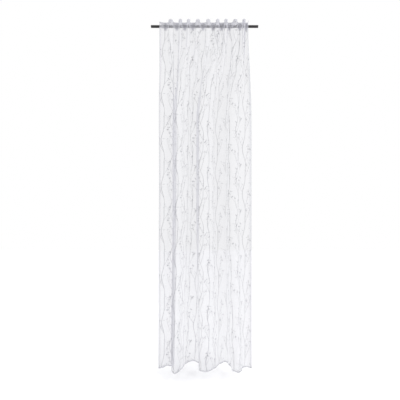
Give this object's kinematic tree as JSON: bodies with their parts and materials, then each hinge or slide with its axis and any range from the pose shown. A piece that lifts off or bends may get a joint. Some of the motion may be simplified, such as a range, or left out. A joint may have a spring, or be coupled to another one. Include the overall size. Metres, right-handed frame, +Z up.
{
  "type": "sheer voile curtain on a rod",
  "caption": "Long sheer voile curtain with a printed twig pattern, gathered in uneven soft folds on a thin dark rod by hidden tabs behind its heading.",
  "frame": {"origin": "middle of the rod's length, on the rod's axis", "axes": "+X along the rod to the right as seen from the front, +Z up, the curtain's front faces -Y"},
  "size_m": [0.77, 0.2, 2.455],
  "materials": {
    "rod_metal": "near-black satin paint on a steel tube",
    "voile": "sheer white voile, plain weave, see-through",
    "print": "pale grey twig print on the voile",
    "tape": "white woven heading tape, denser than the voile",
    "tab_strip": "white woven strip, sewn at both ends"
  },
  "bodies": {
    "root": {"rod": "rod_metal", "curtain_panel": "voile", "heading_tape": "tape", "back_tab_01": "tab_strip", "back_tab_02": "tab_strip", "back_tab_03": "tab_strip", "back_tab_04": "tab_strip", "back_tab_05": "tab_strip", "back_tab_06": "tab_strip", "back_tab_07": "tab_strip", "back_tab_08": "tab_strip", "back_tab_09": "tab_strip", "back_tab_10": "tab_strip"}
  },
  "joints": []
}
